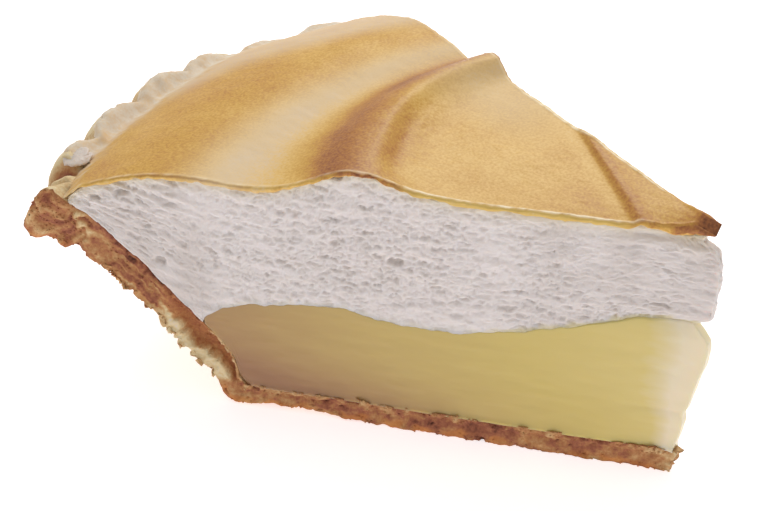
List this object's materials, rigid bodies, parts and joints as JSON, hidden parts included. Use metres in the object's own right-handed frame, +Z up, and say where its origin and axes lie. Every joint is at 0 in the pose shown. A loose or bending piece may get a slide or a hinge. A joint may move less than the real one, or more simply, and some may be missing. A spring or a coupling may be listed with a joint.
{
  "type": "slice of lemon meringue pie",
  "caption": "Wedge of lemon meringue pie: crimped pastry crust, lemon filling and a browned, swirled meringue top.",
  "frame": {"origin": "on the table, under the middle of the slice's bounding box", "axes": "+X from the rim to the tip of the slice, along its middle; +Z up; the cut face towards -Y is the one shown"},
  "size_m": [0.128, 0.095, 0.0589],
  "materials": {
    "pastry": "baked shortcrust pastry, dry and crumbly, stood in for by matte_plastic",
    "lemon_curd": "set lemon curd, moist and slightly see-through, stood in for by gloss_plastic",
    "meringue": "baked meringue, golden satin skin over white foam, stood in for by matte_plastic"
  },
  "bodies": {
    "root": {"pastry_crust": "pastry", "lemon_filling": "lemon_curd", "meringue": "meringue"}
  },
  "joints": []
}
